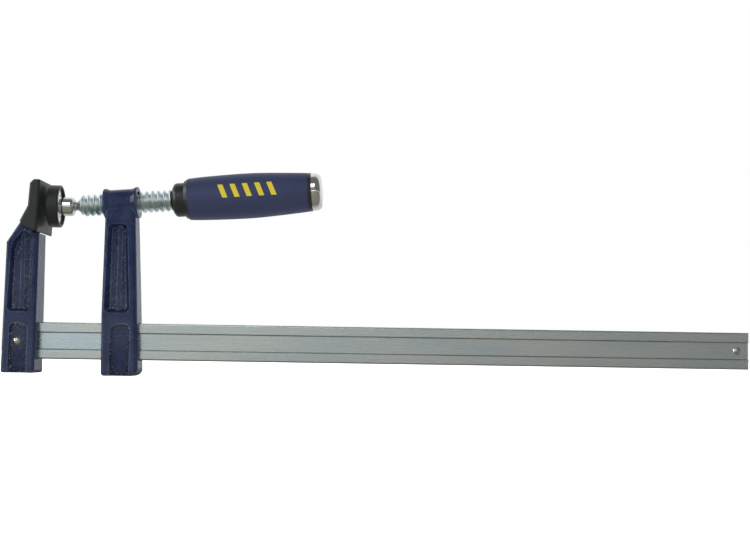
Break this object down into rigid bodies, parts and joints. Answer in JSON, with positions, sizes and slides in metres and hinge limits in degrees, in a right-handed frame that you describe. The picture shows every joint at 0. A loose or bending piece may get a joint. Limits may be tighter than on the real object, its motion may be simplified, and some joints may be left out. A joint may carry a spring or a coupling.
{
  "type": "f clamp",
  "caption": "Bar clamp with a fixed jaw, a sliding arm and a screw that carries a swivel pad and a turning grip, for holding work between two facing pads.",
  "frame": {"origin": "centre of the fixed pad's clamping face", "axes": "+X along the bar towards its free end, +Z from the bar up to the screw, Y across the thickness"},
  "size_m": [0.5049, 0.0376, 0.1409],
  "materials": {
    "bar": "zinc plated, bright",
    "pin_steel": "zinc plated",
    "jaw_paint": "glossy enamel on cast iron",
    "rivet_steel": "plated, bright",
    "pad_plastic": "satin",
    "screw_steel": "zinc plated",
    "hat_steel": "bright plated",
    "core_plastic": "satin",
    "sleeve_rubber": "soft touch",
    "cap_chrome": "polished"
  },
  "bodies": {
    "frame": {"bar": "bar", "bar_stop_pin": "pin_steel", "fixed_jaw": "jaw_paint", "jaw_rivet": "rivet_steel", "fixed_pad": "pad_plastic"},
    "arm": {"sliding_arm": "jaw_paint"},
    "carrier": {"retaining_ring": "pin_steel"},
    "screw": {"spindle": "screw_steel", "handle_core": "core_plastic", "handle_sleeve": "sleeve_rubber", "handle_cross_pin": "pin_steel", "handle_end_cap": "cap_chrome"},
    "pad": {"swivel_plate": "hat_steel", "pad_cap": "pad_plastic"}
  },
  "joints": [
    {"name": "arm_slide", "type": "slide", "parent": "frame", "child": "arm", "axis": [1, 0, 0], "range_m": [0, 0.4]},
    {"name": "screw_feed", "type": "slide", "parent": "arm", "child": "carrier", "axis": [-0.9973, 0, -0.0741], "range_m": [-0.016, 0.0004]},
    {"name": "handle_turn", "type": "hinge", "parent": "carrier", "child": "screw", "pos_m": [0.0155, 0, 0.00153], "axis": [-0.9973, 0, -0.0741], "range_deg": [-1440, 36]},
    {"name": "pad_tilt", "type": "hinge", "parent": "carrier", "child": "pad", "pos_m": [0.0155, 0, 0.00153], "axis": [0, 1, 0], "range_deg": [-7, 7]}
  ],
  "couplings": [
    {"joint": "screw_feed", "follows": "handle_turn", "m_per_rad": 0.00063662}
  ]
}
